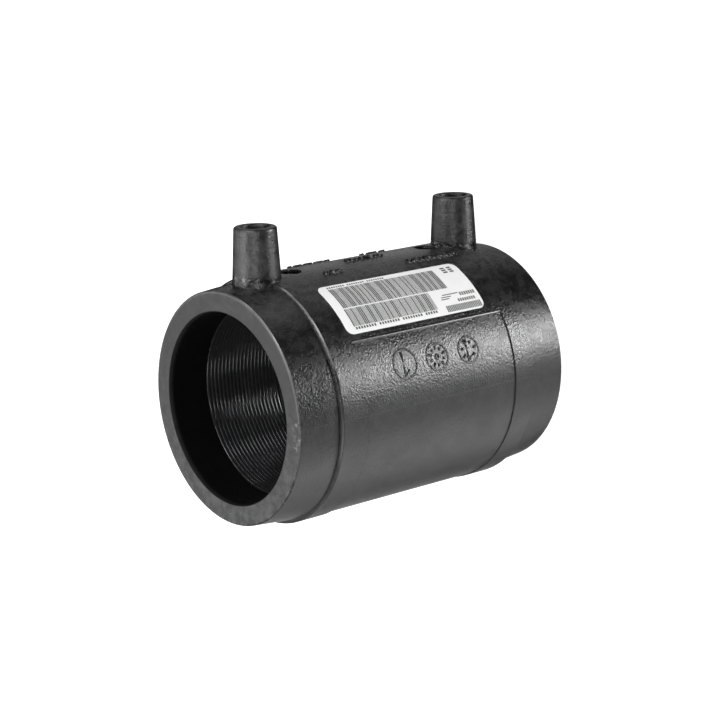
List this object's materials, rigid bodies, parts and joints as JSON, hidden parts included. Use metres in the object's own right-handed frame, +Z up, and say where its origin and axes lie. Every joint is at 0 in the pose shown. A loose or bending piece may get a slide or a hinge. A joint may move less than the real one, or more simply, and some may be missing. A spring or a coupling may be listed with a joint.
{
  "type": "electrofusion coupler",
  "caption": "Black polyethylene electrofusion coupler: a straight sleeve with a socket at each end, heating winding in the bore, two shrouded terminals and a label.",
  "frame": {"origin": "middle of the footprint box on the floor that the coupler stands on; the bore axis stands 8.5 mm towards -X from it", "axes": "+Z up along the bore axis, +X the way the two terminals point, and the label faces between +X and -Y"},
  "size_m": [0.101, 0.0838, 0.117],
  "materials": {
    "body": "moulded black polyethylene, fine spark-grained above the parting line and satin below it",
    "winding": "black polyethylene jacket of the heating wire, satin",
    "pin": "bare turned brass",
    "label": "white film with black bars"
  },
  "bodies": {
    "root": {"coupler_body": "body", "heating_winding": "winding", "terminal_pin_lower": "pin", "terminal_pin_upper": "pin", "label": "label"}
  },
  "joints": []
}
